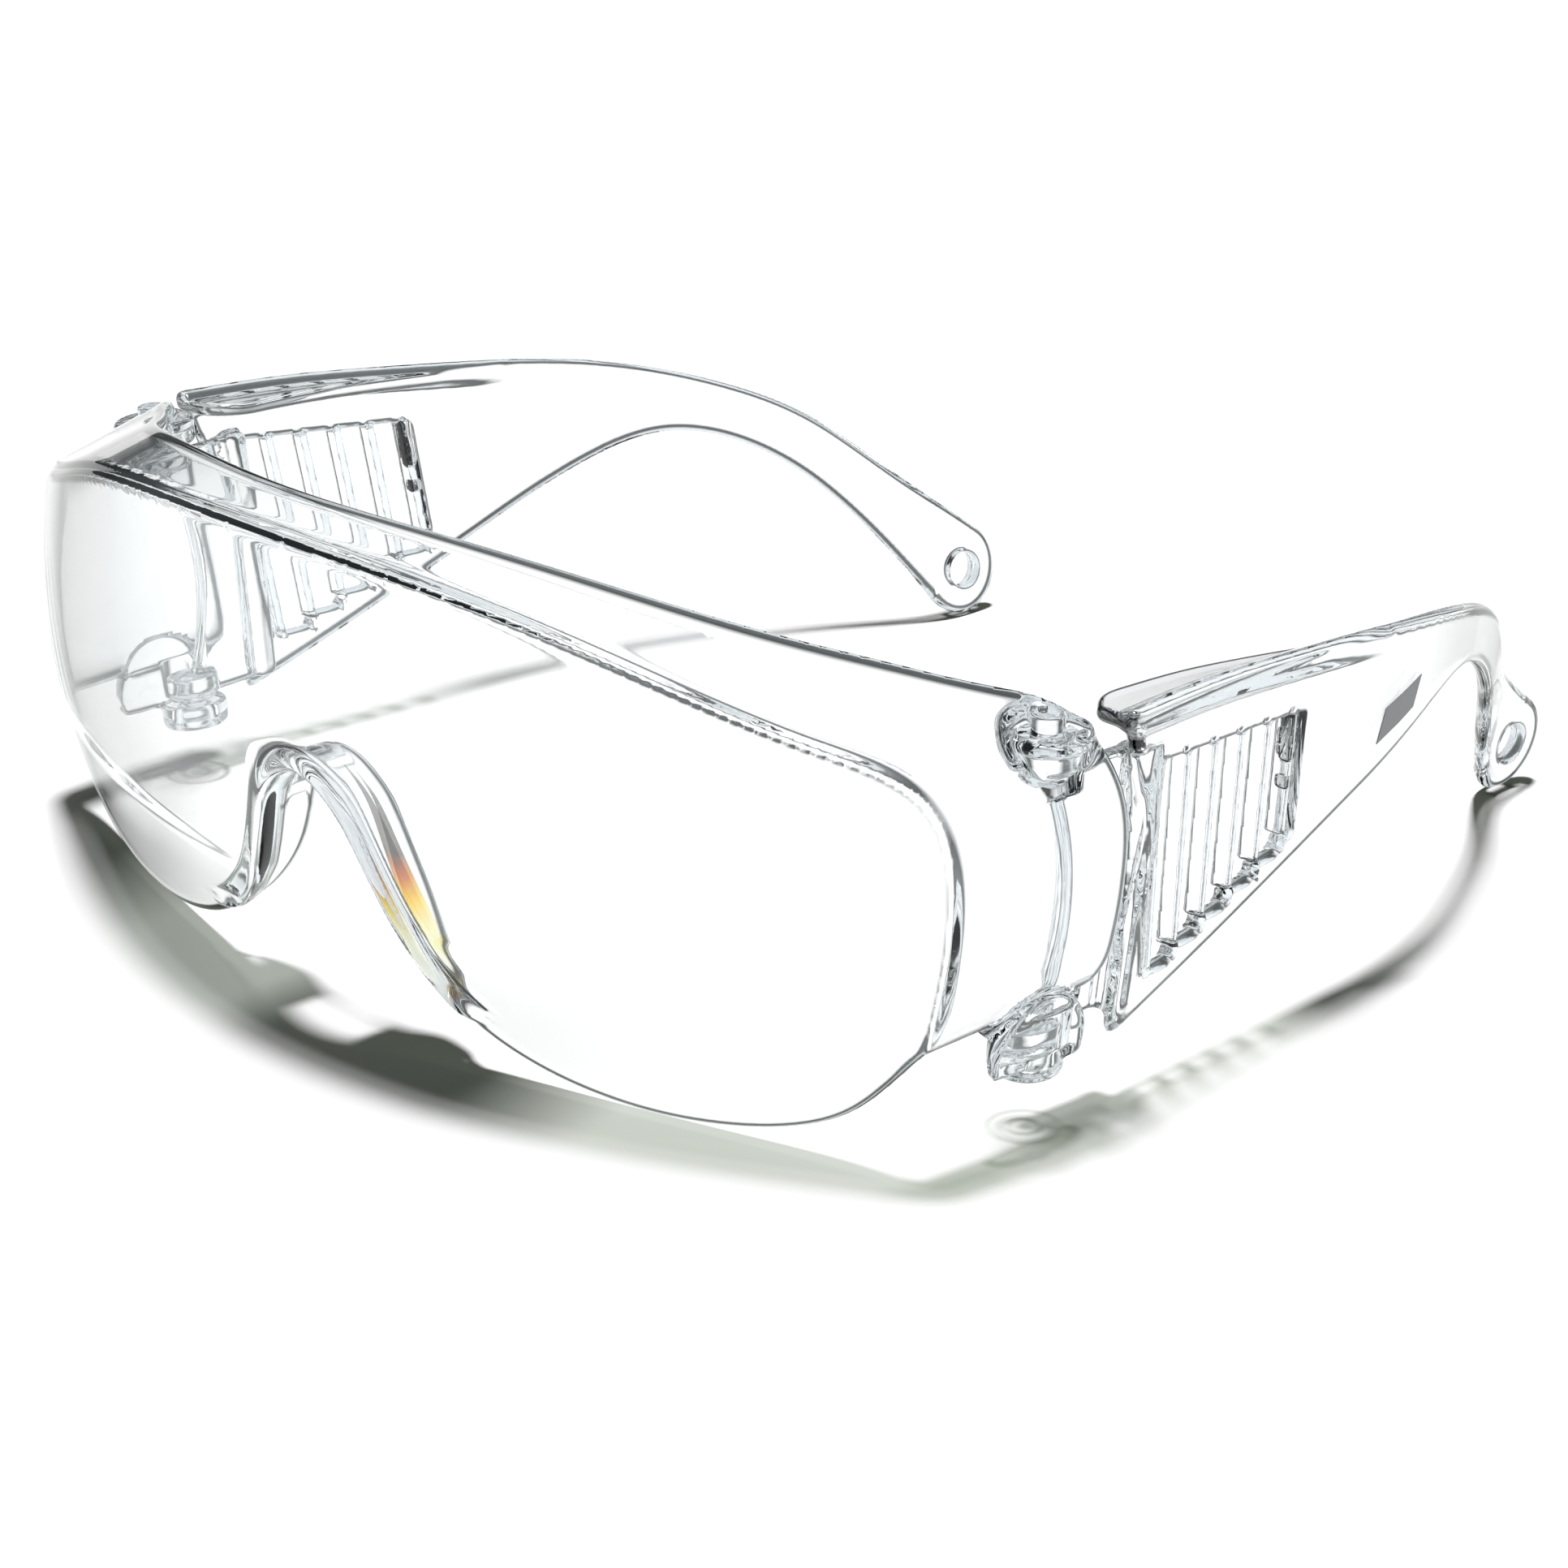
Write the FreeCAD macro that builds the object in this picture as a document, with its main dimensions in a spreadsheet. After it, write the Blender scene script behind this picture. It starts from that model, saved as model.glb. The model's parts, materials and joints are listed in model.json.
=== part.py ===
import FreeCAD
import Part
import math
import os

# Clear one-piece safety glasses that fit over spectacles.
# Head frame used while modelling: +X is the wearer's left, +Y runs back towards the ears and
# +Z is up. The lowest point of the lens and of the temple tips stands on z = 0.
# Each finished piece is moved back by origin_shift, so that the origin of the part is the
# middle of the footprint of the open glasses.

SIZES = {
    # moulded walls
    "wall": 2.2,
    "blade_wall": 2.3,
    "origin_shift": 34.25,
    # front viewing panel: a sheet that leans forward towards the brow
    "panel_centre_y": -34.6,
    "panel_lean": 0.178,
    "panel_radius_low": 145.0,
    "panel_radius_top": 98.0,
    "panel_low_level": -6.0,
    "panel_mid_level": 30.0,
    "panel_top_level": 62.0,
    "panel_reach": 90.0,
    "panel_back": 30.0,
    # tube of brow ledge and side wings
    "tube_front": -50.0,
    "tube_rear": 10.0,
    "tube_floor": -6.0,
    "wing_bottom": 12.3,
    "ledge_cut_level": 42.5,
    # nose notch and its flange
    "notch_top": 28.6,
    "flange_wall": 1.8,
    "flange_end_level": 5.6,
    # tilted hinge axis: lower and upper pivot points
    "pivot_low_x": 69.4,
    "pivot_low_y": -2.2,
    "pivot_low_z": 8.8,
    "pivot_top_x": 72.6,
    "pivot_top_y": -3.8,
    "pivot_top_z": 43.4,
    "peg_radius": 1.65,
    "peg_hole_radius": 1.73,
    "knuckle_radius": 2.9,
    "barrel_radius": 4.8,
    "barrel_gap": 0.3,
    "lug_radius": 3.9,
    "pad_middle_y": -4.6,
    "pad_half_width": 6.4,
    "pad_low_level": 7.8,
    "pad_spring_level": 10.0,
    "pad_inner_x": 71.9,
    "pad_proud": 1.0,
    # temples
    "temple_lean": 0.1317,
    "temple_length": 113.3,
    "tip_radius": 6.0,
    "cord_hole_radius": 2.3,
    "cord_hole_x": 45.6,
    "cord_hole_turn": 0.0,
    "arm_wall": 2.0,
    "ledge_step": 0.8,
    "ledge_wall": 1.6,
    "slat_count": 6,
    "slat_wall": 1.0,
    "slat_proud": 0.4,
    "print_thickness": 0.12,
}

doc = FreeCAD.newDocument("SafetyGlasses")
sheet = doc.addObject("Spreadsheet::Sheet", "Sizes")
for row, (alias, value) in enumerate(SIZES.items(), start=1):
    sheet.set("A%d" % row, alias)
    sheet.set("B%d" % row, str(value))
    sheet.setAlias("B%d" % row, alias)
doc.recompute()


def size(alias):
    return float(sheet.get(alias))


WALL = size("wall")
V = FreeCAD.Vector

# Sketch planes: local x, y of each sketch land on these axes of the head frame.
PLAN = FreeCAD.Rotation()
FRONT = FreeCAD.Rotation(V(1, 0, 0), 90)
SIDE = FreeCAD.Rotation(V(1, 1, 1), 120)

# Cutting blocks run out to these places, well clear of the glasses.
AHEAD = -70.0
BEHIND = 40.0
BESIDE = 100.0
BELOW = -20.0
ABOVE = 90.0


# ---------------------------------------------------------------- helpers

def make_sketch(name, rotation, offset, curves):
    """A sketch on a plane with the given rotation, moved to offset."""
    sketch = doc.addObject("Sketcher::SketchObject", name)
    sketch.Placement = FreeCAD.Placement(offset, rotation)
    for curve in curves:
        sketch.addGeometry(curve, False)
    return sketch


def line(a, b):
    return Part.LineSegment(V(a[0], a[1], 0), V(b[0], b[1], 0))


def arc(a, b, c):
    return Part.Arc(V(a[0], a[1], 0), V(b[0], b[1], 0), V(c[0], c[1], 0))


def spline(points, start=None, end=None):
    """Smooth curve through points, with optional end directions."""
    curve = Part.BSplineCurve()
    vectors = [V(p[0], p[1], 0) for p in points]
    if start is None:
        curve.interpolate(vectors)
    else:
        curve.interpolate(Points=vectors, InitialTangent=V(start[0], start[1], 0),
                          FinalTangent=V(end[0], end[1], 0))
    return curve


def polygon(points):
    return [line(points[i], points[(i + 1) % len(points)]) for i in range(len(points))]


def extrude(name, sketch, direction, length):
    """Solid from a closed sketch. length is a cell alias or an expression."""
    solid = doc.addObject("Part::Extrusion", name)
    solid.Base = sketch
    solid.DirMode = "Custom"
    solid.Dir = direction
    solid.Solid = True
    if isinstance(length, str):
        solid.setExpression("LengthFwd", length)
    else:
        solid.LengthFwd = length
    return solid


def loft(name, sections):
    solid = doc.addObject("Part::Loft", name)
    solid.Sections = sections
    solid.Solid = True
    solid.Ruled = False
    return solid


def cut(name, base, tool):
    result = doc.addObject("Part::Cut", name)
    result.Base = base
    result.Tool = tool
    return result


def common(name, *shapes):
    result = doc.addObject("Part::MultiCommon", name)
    result.Shapes = list(shapes)
    return result


def fuse(name, *shapes):
    result = doc.addObject("Part::MultiFuse", name)
    result.Shapes = list(shapes)
    return result


def box(name, low, high):
    solid = doc.addObject("Part::Box", name)
    solid.Length = high[0] - low[0]
    solid.Width = high[1] - low[1]
    solid.Height = high[2] - low[2]
    solid.Placement = FreeCAD.Placement(V(*low), PLAN)
    return solid


def mirrored(name, source):
    """The same shape on the wearer's right."""
    copy = doc.addObject("Part::Mirroring", name)
    copy.Source = source
    copy.Normal = V(1, 0, 0)
    return copy


# ---------------------------------------------------------------- hinge axis

PIVOT_LOW = V(size("pivot_low_x"), size("pivot_low_y"), size("pivot_low_z"))
PIVOT_TOP = V(size("pivot_top_x"), size("pivot_top_y"), size("pivot_top_z"))
AXIS = (PIVOT_TOP - PIVOT_LOW).normalize()
AXIS_TURN = FreeCAD.Rotation(V(0, 0, 1), AXIS)


def on_axis(distance):
    """Point on the hinge axis, distance from the lower pivot."""
    return PIVOT_LOW + AXIS * distance


def axis_cylinder(name, radius, start, end):
    """Cylinder around the hinge axis between two distances from the lower pivot."""
    solid = doc.addObject("Part::Cylinder", name)
    if isinstance(radius, str):
        solid.setExpression("Radius", radius)
    else:
        solid.Radius = radius
    solid.Height = end - start
    solid.Placement = FreeCAD.Placement(on_axis(start), AXIS_TURN)
    return solid


# Distances along the hinge axis, from the lower pivot.
SPAN = (PIVOT_TOP - PIVOT_LOW).Length
LUG_BOTTOM = -2.7
LUG_TOP = 0.4
KNUCKLE_GAP = 0.15
ARM_GAP = 0.7
KNUCKLE_HEIGHT = 3.0
KNUCKLE_TOP_HEIGHT = 4.0
BARREL_BOTTOM = SPAN - 2.8
BARREL_FLOOR = SPAN - 1.0
BARREL_TOP = SPAN + 0.6
PEG_TOP = SPAN + 2.2
PEG_BOTTOM = LUG_BOTTOM - 0.5
PEG_ROOT = 1.0
HOLE_OVERRUN = 5.0
ROOM_UNDER_BARREL = 3.0
ROOM_OVER_KNUCKLE = 2.0


# ---------------------------------------------------------------- lens shield

def panel_space(name, inset):
    """Everything behind the front panel's surface, moved back by inset."""
    sections = []
    reach = size("panel_reach")
    back = size("panel_back")
    levels = (
        (size("panel_low_level"), size("panel_radius_low")),
        (size("panel_mid_level"), size("panel_radius_low")),
        (size("panel_top_level"), size("panel_radius_top")),
    )
    for index, (level, radius) in enumerate(levels):
        centre = size("panel_centre_y") - size("panel_lean") * level + inset
        r = radius - inset
        sag = r - math.sqrt(r * r - reach * reach)
        left, right = (-reach, centre + sag), (reach, centre + sag)
        curves = [
            arc(left, (0, centre), right),
            line(right, (reach, back)),
            line((reach, back), (-reach, back)),
            line((-reach, back), left),
        ]
        sections.append(make_sketch("%sLevel%d" % (name, index), PLAN, V(0, 0, level), curves))
    return loft(name, sections)


# Half outline of the tube seen from the front: point and the direction its wall faces.
# Each entry gives the point at the tube's front plane and at its rear plane.
TUBE_HALF = (
    ((0, 55.8), (0, 71.0), (0, 1)),
    ((60, 40.4), (65, 51.8), (0.42, 0.91)),
    ((68, 34.5), (75.6, 46.4), (0.85, 0.53)),
    ((71.6, 24.0), (78.6, 37.0), (1, 0.1)),
    ((72.0, 16.0), (76.6, 24.0), (1, -0.1)),
    ((68.5, 6.0), (73.4, 9.0), (1, -0.1)),
)


def tube_outline(rear, inset):
    """Closed outline of the tube at its front or rear plane."""
    half = []
    for front_point, rear_point, facing in TUBE_HALF:
        point = rear_point if rear else front_point
        half.append((point[0] - facing[0] * inset, point[1] - facing[1] * inset))
    top, shoulder, corner, side, low_side, foot = half
    floor = size("tube_floor") - inset

    def flip(p):
        return (-p[0], p[1])

    return [
        arc(flip(shoulder), top, shoulder),
        arc(shoulder, corner, side),
        arc(side, low_side, foot),
        line(foot, (foot[0], floor)),
        line((foot[0], floor), (-foot[0], floor)),
        line((-foot[0], floor), flip(foot)),
        arc(flip(foot), flip(low_side), flip(side)),
        arc(flip(side), flip(corner), flip(shoulder)),
    ]


def tube_space(name, inset):
    """Solid inside the brow ledge and wings, grown inwards by inset."""
    front = make_sketch(name + "Front", FRONT, V(0, size("tube_front"), 0), tube_outline(False, inset))
    rear = make_sketch(name + "Rear", FRONT, V(0, size("tube_rear"), 0), tube_outline(True, inset))
    return loft(name, [front, rear])


# Right half of the panel's lower edge: nose notch, then the lobe that rests on the table.
NOTCH_HALF = ((4.4, 26.6), (7.0, 23.2), (9.0, 19.0), (11.8, 13.6), (15.6, 8.8))
LOBE_HALF = ((20.5, 5.0), (27.0, 2.2), (35.0, 0.5), (42.0, 0.0),
             (50.0, 0.5), (58.0, 2.3), (65.0, 6.2), (69.6, 11.0))


def lower_edge_points():
    right = ((0, size("notch_top")),) + NOTCH_HALF + LOBE_HALF
    left = tuple((-x, z) for x, z in reversed(right[1:]))
    return left + right


FRONT_DEPTH = 60.0         # run of the front-view blocks, back from AHEAD


def below_lens():
    """Everything under the notch and the lobes."""
    points = lower_edge_points()
    first, last = points[0], points[-1]
    curves = [
        spline(points),
        line(last, (BESIDE, last[1])),
        line((BESIDE, last[1]), (BESIDE, BELOW)),
        line((BESIDE, BELOW), (-BESIDE, BELOW)),
        line((-BESIDE, BELOW), (-BESIDE, first[1])),
        line((-BESIDE, first[1]), first),
    ]
    outline = make_sketch("LowerEdge", FRONT, V(0, AHEAD, 0), curves)
    return extrude("BelowLens", outline, V(0, 1, 0), FRONT_DEPTH)


# Seen from the front: the way the flange's far side lies from the notch, and its pointed end.
FLANGE_FACING = (0.9, 0.45)
FLANGE_END_X = 18.9
FLANGE_TOP = 40.0
FLANGE_FRONT = -60.0
FLANGE_HALF_WIDTH = 30.0
FLANGE_REAR = ((-33.0, FLANGE_TOP), (-31.0, 27.0), (-30.2, 20.3), (-29.8, 15.5), (-30.4, 10.4), (-32.0, 7.4))


def nose_flange(panel_outer):
    """Band around the notch that reaches back towards the nose and tapers out at its lower ends."""
    wall = size("flange_wall")
    end = size("flange_end_level")
    half = [(0, size("notch_top") + wall)]
    half += [(x + wall * FLANGE_FACING[0], z + wall * FLANGE_FACING[1]) for x, z in NOTCH_HALF]
    half.append((FLANGE_END_X, end))
    points = [(-x, z) for x, z in reversed(half[1:])] + half
    outline = make_sketch("FlangeOutline", FRONT, V(0, AHEAD, 0),
                          [spline(points), line(points[-1], points[0])])
    block = extrude("FlangeBlock", outline, V(0, 1, 0), FRONT_DEPTH)
    tail = (size("panel_centre_y"), end)
    profile = make_sketch("FlangeProfile", SIDE, V(-FLANGE_HALF_WIDTH, 0, 0), [
        spline(FLANGE_REAR + (tail,)),
        line(tail, (FLANGE_FRONT, end)),
        line((FLANGE_FRONT, end), (FLANGE_FRONT, FLANGE_TOP)),
        line((FLANGE_FRONT, FLANGE_TOP), FLANGE_REAR[0]),
    ])
    reach = extrude("FlangeReach", profile, V(1, 0, 0), 2 * FLANGE_HALF_WIDTH)
    return common("NoseFlange", block, panel_outer, reach)


# Plan of the ledge's rear edge on the left, and side view of the wings' rear edge.
LEDGE_REAR_HALF = ((0, -36.9), (20, -34.0), (35, -28.2), (50, -18.6), (61, -9.8), (69.5, -3.0), (75.5, 4.0))
WING_REAR_EDGE = ((-2.5, 52.0), (0.2, 44.0), (2.6, 38.0), (4.2, 29.0), (4.8, 20.0), (4.2, 10.0), (3.6, 4.0))


def rear_of_ledge():
    """Everything behind the rear edge of the brow ledge."""
    left = tuple((-x, y) for x, y in reversed(LEDGE_REAR_HALF[1:]))
    points = left + LEDGE_REAR_HALF
    first, last = points[0], points[-1]
    curves = [
        spline(points),
        line(last, (last[0], BEHIND)),
        line((last[0], BEHIND), (first[0], BEHIND)),
        line((first[0], BEHIND), first),
    ]
    level = size("ledge_cut_level")
    outline = make_sketch("LedgeRearEdge", PLAN, V(0, 0, level), curves)
    return extrude("RearOfLedge", outline, V(0, 0, 1), ABOVE - level)


def rear_of_wings():
    """Everything behind the bowed rear edge of the wings."""
    first, last = WING_REAR_EDGE[0], WING_REAR_EDGE[-1]
    curves = [
        spline(WING_REAR_EDGE),
        line(last, (last[0], BELOW)),
        line((last[0], BELOW), (BEHIND, BELOW)),
        line((BEHIND, BELOW), (BEHIND, ABOVE)),
        line((BEHIND, ABOVE), (first[0], ABOVE)),
        line((first[0], ABOVE), first),
    ]
    outline = make_sketch("WingRearEdge", SIDE, V(-BESIDE, 0, 0), curves)
    return extrude("RearOfWings", outline, V(1, 0, 0), 2 * BESIDE)


def hinge_mounts():
    """Upper barrel and lower lug that carry one temple, before their holes."""
    barrel = axis_cylinder("Barrel", "Sizes.barrel_radius", BARREL_BOTTOM, BARREL_TOP)
    lug = axis_cylinder("Lug", "Sizes.lug_radius", LUG_BOTTOM, LUG_TOP)
    # D-shaped pad that ties the lug to the wing, standing a little proud of the wing
    middle = size("pad_middle_y")
    half_width = size("pad_half_width")
    bottom = size("pad_low_level")
    spring = size("pad_spring_level")
    fore, aft = middle - half_width, middle + half_width
    outline = make_sketch("PadOutline", SIDE, V(size("pad_inner_x"), 0, 0), [
        line((fore, bottom), (aft, bottom)),
        line((aft, bottom), (aft, spring)),
        arc((aft, spring), (middle, spring + half_width), (fore, spring)),
        line((fore, spring), (fore, bottom)),
    ])
    block = extrude("PadBlock", outline, V(1, 0, 0), BESIDE - size("pad_inner_x"))
    pad = common("LugPad", block, tube_space("TubeProud", -size("pad_proud")))
    return fuse("HingeMounts", barrel, lug, pad)


def hinge_room():
    """Holes for the pegs and turning room for the knuckles."""
    reach = size("knuckle_radius") + size("barrel_gap")
    peg_low = axis_cylinder("PegHoleLow", "Sizes.peg_hole_radius",
                            LUG_BOTTOM - HOLE_OVERRUN, LUG_TOP + PEG_ROOT)
    peg_top = axis_cylinder("PegHoleTop", "Sizes.peg_hole_radius",
                            BARREL_FLOOR - PEG_ROOT, BARREL_TOP + HOLE_OVERRUN)
    room_top = axis_cylinder("RoomTop", reach, BARREL_BOTTOM - ROOM_UNDER_BARREL, BARREL_FLOOR)
    room_low = axis_cylinder("RoomLow", reach, LUG_TOP, LUG_TOP + KNUCKLE_HEIGHT + ROOM_OVER_KNUCKLE)
    return fuse("HingeRoom", peg_low, peg_top, room_top, room_low)


def lens_shield():
    panel_outer = panel_space("PanelOuter", 0.0)
    panel_inner = panel_space("PanelInner", WALL)
    tube_outer = tube_space("TubeOuter", 0.0)
    tube_inner = tube_space("TubeInner", WALL)
    doc.recompute()

    skin = cut("Skin", common("OuterBlock", tube_outer, panel_outer),
               common("InnerBlock", tube_inner, panel_inner))
    under = box("UnderWings", (-BESIDE, AHEAD, BELOW), (BESIDE, BEHIND, size("wing_bottom")))
    under_wings = common("UnderWingsInside", under, panel_inner)
    flange = nose_flange(panel_outer)
    trimmed = cut("SkinTrimmed", skin,
                  fuse("SkinTrims", under_wings, rear_of_ledge(), rear_of_wings()))
    mounts_left = hinge_mounts()
    room_left = hinge_room()
    with_mounts = fuse("ShieldBlank", trimmed, flange, mounts_left, mirrored("MountsRight", mounts_left))
    shield = cut("LensShield", with_mounts,
                 fuse("ShieldHoles", below_lens(), room_left, mirrored("RoomRight", room_left)))
    return shield


# ---------------------------------------------------------------- temples

LEAN = size("temple_lean")
PLAN_LEVEL = 40.0          # level at which the plan points below are given
PLAN_DROP = LEAN * PLAN_LEVEL
TEMPLE_REACH = 60.0        # height of the leaning blocks, from the table up
# Plan of the outer face: straight run, bend towards the head, then a tip that turns parallel again.
OUTER_FACE = ((77.6, 2.7), (71.9, 54.0), (69.2, 65.6), (62.9, 80.4), (57.4, 92.2), (53.6, 99.0),
              (51.7, 103.5), (51.2, 108.0), (51.2, 116.0))
# Directions of the tail's curve at its two ends, forwards and backwards.
TAIL_START = (-0.44, 1)
TAIL_END = (0, 1)
TAIL_BACK = (0, -1)
TAIL_RETURN = (0.44, -1)


def plan_line(offset):
    """Plan of the temple's outer face at z = 0, moved inwards by offset."""
    return [(x - PLAN_DROP - offset, y) for x, y in OUTER_FACE]


def leaning(name, curves):
    """Solid with a plan outline that leans outwards with the temple."""
    outline = make_sketch(name + "Plan", PLAN, V(0, 0, 0), curves)
    return extrude(name, outline, V(LEAN, 0, 1), TEMPLE_REACH * math.sqrt(1 + LEAN * LEAN))


def plan_band(name, outer, inner):
    """Leaning sheet between two plan lines."""
    a, b = plan_line(outer), plan_line(inner)
    return leaning(name, [
        line(a[0], a[1]),
        arc(a[1], a[2], a[3]),
        spline(a[3:], TAIL_START, TAIL_END),
        line(a[-1], b[-1]),
        spline(b[:2:-1], TAIL_BACK, TAIL_RETURN),
        arc(b[3], b[2], b[1]),
        line(b[1], b[0]),
        line(b[0], a[0]),
    ])


BLADE_FRONT = 7.2
SHOULDER_LEVEL = 31.0
TOP_EDGE = ((3.2, 44.9), (18.0, 44.4), (34.0, 42.9), (54.0, 40.5), (66.0, 38.3), (80.5, 33.6),
            (91.0, 27.6), (100.0, 19.4))
BOTTOM_EDGE = ((96.0, 12.0), (89.0, 20.2), (83.0, 24.8), (77.0, 27.6), (70.0, 28.6),
               (64.0, 27.6), (56.0, 25.0), (41.0, 19.4), (22.0, 12.4),
               (BLADE_FRONT, 7.4))


def tip_point(degrees):
    """Point on the round tip, seen from the side."""
    radius = size("tip_radius")
    turn = math.radians(degrees)
    middle = size("temple_length") - radius
    return (middle + radius * math.cos(turn), radius + radius * math.sin(turn))


def side_outline():
    """Blade seen from the side: a deep shield that narrows and hooks down to a round tip."""
    rear, lowest, fore = tip_point(52), tip_point(-90), tip_point(-146)
    return [
        spline(TOP_EDGE + (rear,)),
        arc(rear, tip_point(-20), lowest),
        arc(lowest, tip_point(-118), fore),
        spline((fore,) + BOTTOM_EDGE),
        line(BOTTOM_EDGE[-1], (BLADE_FRONT, SHOULDER_LEVEL)),
        line((BLADE_FRONT, SHOULDER_LEVEL), TOP_EDGE[0]),
    ]


def side_solid(name, curves, drop=0.0):
    """Solid with a side-view outline, lowered by drop, through the whole left half."""
    outline = make_sketch(name + "Outline", SIDE, V(0, 0, -drop), curves)
    return extrude(name, outline, V(1, 0, 0), BESIDE)


# Vent in the blade: corners at the top, and the step that closes each bay at the bottom.
VENT_TOP = ((8.0, 37.9), (34.2, 35.9))
VENT_LOW_FRONT = 11.0
VENT_LOW_REAR = 36.2
STEP_LOW = 13.4
STEP_RISE = 1.6
SLAT_LOW = 12.0
SLAT_LEAD = 0.15           # first slat, as a share of one bay behind the vent's front end
SLAT_SINK = 0.2            # slats stay this far under the blade's outer face
SLAT_BITE = 0.5            # and run this far into the blade around the vent


def slat_places():
    """Front face of each slat, at the top and at the bottom of the vent."""
    count = int(size("slat_count"))
    share = [(i + SLAT_LEAD) / (count - 0.5) for i in range(count)]
    top = [VENT_TOP[0][0] + s * (VENT_TOP[1][0] - VENT_TOP[0][0]) for s in share]
    low = [VENT_LOW_FRONT + s * (VENT_LOW_REAR - VENT_LOW_FRONT) for s in share]
    return list(zip(top, low))


def vent_outline():
    """Vent with a stepped lower edge, one level step to each bay."""
    half = size("slat_wall") / 2
    edges = [low + half for _, low in slat_places()][1:]
    points = [VENT_TOP[1], (VENT_LOW_REAR, STEP_LOW + STEP_RISE * len(edges))]
    for index in reversed(range(len(edges))):
        points.append((edges[index], STEP_LOW + STEP_RISE * (index + 1)))
        points.append((edges[index], STEP_LOW + STEP_RISE * index))
    points.append((VENT_LOW_FRONT, STEP_LOW))
    points.append(VENT_TOP[0])
    return points


def temple_blade():
    return common("Blade", plan_band("BladeBand", 0.0, size("blade_wall")),
                  side_solid("BladeSide", side_outline()))


def vent_window():
    return side_solid("VentWindow", polygon(vent_outline()))


def louvres():
    """Upright slats across the vent, standing a little proud of the blade's inner face."""
    band = plan_band("SlatBand", SLAT_SINK, size("blade_wall") + size("slat_proud"))
    wall = size("slat_wall")
    high = VENT_TOP[0][1] + 1.0
    slats = []
    for index, (top, low) in enumerate(slat_places()):
        slats.append(side_solid("Slat%d" % index, polygon([
            (low, SLAT_LOW), (low + wall, SLAT_LOW), (top + wall, high), (top, high)])))
    (front, front_top), (rear, rear_top) = VENT_TOP
    bite = SLAT_BITE
    window = side_solid("SlatWindow", polygon([
        (front - bite, front_top + bite), (rear + bite, rear_top + bite),
        (VENT_LOW_REAR + bite, STEP_LOW + STEP_RISE * len(slats) - bite),
        (VENT_LOW_FRONT - bite, STEP_LOW - bite)]))
    return common("Louvres", fuse("SlatBlock", *slats), band, window)


LEDGE_RIM = ((70.6, 50.0), (70.0, 36.5), (69.5, 27.0), (69.1, 18.0), (69.0, 10.5), (69.6, 6.6), (71.6, 4.0),
             (76.0, 3.3))


def temple_ledge():
    """Shelf along the top edge that points inwards, rounded off in front and fading out behind."""
    rim = [(x - PLAN_DROP, y) for x, y in LEDGE_RIM]
    column = leaning("LedgeColumn", [spline(rim), line(rim[-1], rim[0])])
    step = size("ledge_step")
    under_top = side_solid("LedgeSide", side_outline(), step)
    below = side_solid("LedgeBelow", side_outline(), step + size("ledge_wall"))
    return cut("TempleLedge", common("LedgeBlock", column, under_top), below)


# Front plate between the knuckles. Side view: its bowed front edge and where it ends in the blade.
ARM_FRONT_LOW = -3.6
ARM_FRONT_MIDDLE = -0.4
ARM_FRONT_TOP = -4.6
ARM_ROOT = 9.5
# Plan: x of its outer face in front and behind, and of the foot that joins the blade.
ARM_AHEAD = -8.0
ARM_OUTER_FRONT = 73.3
ARM_OUTER_REAR = 74.3
ARM_FOOT = ((77.0, BLADE_FRONT), (76.6, ARM_ROOT))


def front_plate():
    """Plate inside the wing that carries both knuckles."""
    low = PIVOT_LOW.z + LUG_TOP + ARM_GAP
    top = PIVOT_LOW.z + BARREL_BOTTOM - 2 * ARM_GAP
    side = side_solid("ArmSide", [
        arc((ARM_FRONT_LOW, low), (ARM_FRONT_MIDDLE, 0.5 * (low + top)), (ARM_FRONT_TOP, top)),
        line((ARM_FRONT_TOP, top), (ARM_ROOT, top)),
        line((ARM_ROOT, top), (ARM_ROOT, low)),
        line((ARM_ROOT, low), (ARM_FRONT_LOW, low)),
    ])
    wall = size("arm_wall")
    plan = ((ARM_OUTER_FRONT, ARM_AHEAD), (ARM_OUTER_REAR, BLADE_FRONT)) + ARM_FOOT
    plan += ((ARM_OUTER_REAR - wall, ARM_ROOT), (ARM_OUTER_FRONT - wall, ARM_AHEAD))
    column = leaning("ArmColumn", polygon([(x - PLAN_DROP, y) for x, y in plan]))
    return common("FrontPlate", column, side)


def hinge_arms():
    """Front plate with a knuckle and a peg above and below."""
    low_start = LUG_TOP + KNUCKLE_GAP
    top_end = BARREL_FLOOR - KNUCKLE_GAP
    low = axis_cylinder("KnuckleLow", "Sizes.knuckle_radius", low_start, low_start + KNUCKLE_HEIGHT)
    top = axis_cylinder("KnuckleTop", "Sizes.knuckle_radius", top_end - KNUCKLE_TOP_HEIGHT, top_end)
    peg_low = axis_cylinder("PegLow", "Sizes.peg_radius", PEG_BOTTOM, LUG_TOP + PEG_ROOT)
    peg_top = axis_cylinder("PegTop", "Sizes.peg_radius", BARREL_FLOOR - PEG_ROOT, PEG_TOP)
    return fuse("HingeArms", low, top, peg_low, peg_top, front_plate())


def cord_hole():
    hole = doc.addObject("Part::Cylinder", "CordHole")
    hole.setExpression("Radius", "Sizes.cord_hole_radius")
    hole.Height = 60
    normal = V(1, size("cord_hole_turn"), 0).normalize()
    centre = V(size("cord_hole_x"), size("temple_length") - size("tip_radius"), size("tip_radius"))
    start = centre - normal * (0.5 * float(hole.Height))
    hole.Placement = FreeCAD.Placement(start, FreeCAD.Rotation(V(0, 0, 1), normal))
    return hole


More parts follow.
